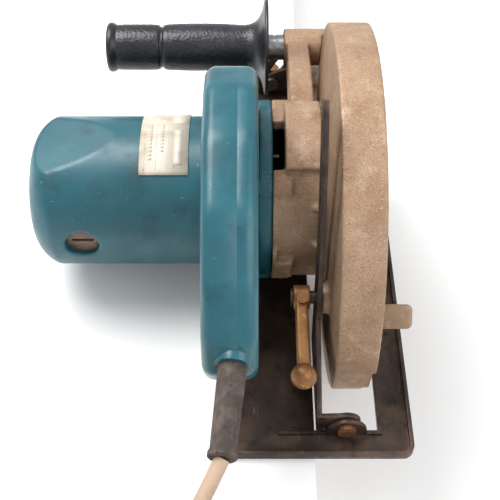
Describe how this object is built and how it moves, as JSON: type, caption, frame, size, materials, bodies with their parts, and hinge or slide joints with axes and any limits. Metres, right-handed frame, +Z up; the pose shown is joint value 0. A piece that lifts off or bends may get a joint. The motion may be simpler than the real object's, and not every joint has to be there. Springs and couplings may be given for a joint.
{
  "type": "circular saw",
  "caption": "Hand-held electric circular saw with a rear D-handle, side grip, cast upper guard, sprung lower guard and a tilting, depth-adjustable base plate",
  "frame": {"origin": "on the underside of the base plate, under the arbor's axis along Y and left of the gear housing along X", "axes": "+X along the motor from its closed end towards the blade, +Y forward in the direction of cut, +Z up from the sole"},
  "size_m": [0.2715, 0.5297, 0.2658],
  "materials": {
    "teal_nylon": "moulded, satin gloss, scuffed",
    "plate_foil": "printed foil",
    "black_nylon": "moulded",
    "cast_alloy": "sand-textured casting, bronze lacquer",
    "guard_alloy": "pressed and lacquered",
    "electrical_steel": "stacked sheet",
    "copper": "enamelled wire",
    "graphite": "pressed carbon",
    "spring_steel": "drawn wire",
    "bearing_steel": "ground",
    "machined_steel": "turned",
    "fan_plastic": "moulded",
    "zinc_steel": "zinc plated",
    "blade_steel": "ground",
    "worn_steel": "black finish worn to bare edges",
    "rusty_steel": "rusted",
    "cast_bronze": "bronze lacquer over zinc casting",
    "guard_rubber": "moulded",
    "cord_jacket": "extruded",
    "black_tie": "strap",
    "plug_rubber": "moulded",
    "plug_metal": "nickelled"
  },
  "bodies": {
    "base": {"base_plate": "worn_steel", "rear_bevel_bolt": "rusty_steel", "bevel_quadrant": "worn_steel", "front_bevel_pin": "machined_steel"},
    "tilt_frame": {"depth_guide": "worn_steel", "front_bracket": "worn_steel", "depth_pivot_pin": "machined_steel", "bevel_bolt": "zinc_steel"},
    "bevel_lever": {"bevel_lever": "cast_bronze"},
    "saw": {"motor_housing": "teal_nylon", "rating_plate": "plate_foil", "air_baffle": "black_nylon", "stator_core": "electrical_steel", "field_coils": "copper", "brush_holders": "black_nylon", "carbon_brushes": "graphite", "brush_springs": "spring_steel", "brush_caps": "black_nylon", "rear_bearing": "bearing_steel", "drive_bearing": "bearing_steel", "gear_housing": "cast_alloy", "housing_screws": "zinc_steel", "arbor_inner_bearing": "bearing_steel", "arbor_outer_bearing": "bearing_steel", "bearing_box": "cast_alloy", "bearing_box_screws": "zinc_steel", "blade_case": "cast_alloy", "case_screws": "zinc_steel", "guard_snap_ring": "spring_steel", "depth_stud": "zinc_steel", "side_grip": "black_nylon", "grip_stud": "zinc_steel", "handle_left": "teal_nylon", "handle_right": "teal_nylon", "handle_screws": "zinc_steel", "switch": "black_nylon", "cord_guard": "guard_rubber", "cord": "cord_jacket", "cord_coil": "cord_jacket", "cord_tie": "black_tie", "plug_body": "plug_rubber", "plug_pins": "plug_metal"},
    "armature": {"armature_shaft": "machined_steel", "armature_core": "electrical_steel", "armature_windings": "copper", "commutator": "copper", "cooling_fan": "fan_plastic", "motor_pinion": "machined_steel"},
    "arbor": {"arbor_shaft": "machined_steel", "drive_gear": "machined_steel", "inner_flange": "machined_steel", "outer_flange": "machined_steel", "saw_blade": "blade_steel", "blade_bolt": "zinc_steel"},
    "lower_guard": {"lower_guard": "guard_alloy", "thumb_tab": "guard_alloy"},
    "depth_lever": {"depth_lever": "cast_bronze", "lever_set_screw": "cast_bronze"},
    "trigger": {"trigger": "black_nylon"},
    "lock_button": {"lock_button": "black_nylon"}
  },
  "joints": [
    {"name": "bevel_tilt", "type": "hinge", "parent": "base", "child": "tilt_frame", "pos_m": [0.0585, 0, 0.0095], "axis": [0, 1, 0], "range_deg": [0, 45]},
    {"name": "depth_swing", "type": "hinge", "parent": "tilt_frame", "child": "saw", "pos_m": [0.047, 0.146, 0.022], "axis": [-1, 0, 0], "range_deg": [0, 27]},
    {"name": "arbor_spin", "type": "hinge", "parent": "saw", "child": "arbor", "pos_m": [0.05, 0, 0.0335], "axis": [1, 0, 0], "continuous": true},
    {"name": "armature_spin", "type": "hinge", "parent": "saw", "child": "armature", "pos_m": [-0.06, -0.0085, 0.06352], "axis": [1, 0, 0], "continuous": true},
    {"name": "guard_swing", "type": "hinge", "parent": "saw", "child": "lower_guard", "pos_m": [0.056, 0, 0.0335], "axis": [-1, 0, 0], "range_deg": [0, 150], "stiffness_Nm_per_rad": 0.25, "springref_deg": -45.84},
    {"name": "depth_lever_turn", "type": "hinge", "parent": "saw", "child": "depth_lever", "pos_m": [0.0325, -0.09, 0.054], "axis": [-1, 0, 0], "range_deg": [0, 60]},
    {"name": "bevel_lever_turn", "type": "hinge", "parent": "tilt_frame", "child": "bevel_lever", "pos_m": [0.01714, 0.1677, 0.01679], "axis": [0, 1, 0], "range_deg": [0, 60]},
    {"name": "trigger_pull", "type": "hinge", "parent": "saw", "child": "trigger", "pos_m": [-0.0065, -0.052, 0.152], "axis": [-1, 0, 0], "range_deg": [0, 7], "stiffness_Nm_per_rad": 0.6, "springref_deg": -11.46},
    {"name": "button_press", "type": "slide", "parent": "saw", "child": "lock_button", "axis": [1, 0, 0], "range_m": [0, 0.0025], "stiffness_N_per_m": 600, "springref_m": -0.002}
  ],
  "couplings": [
    {"joint": "armature_spin", "follows": "arbor_spin", "ratio": -4.7778}
  ]
}
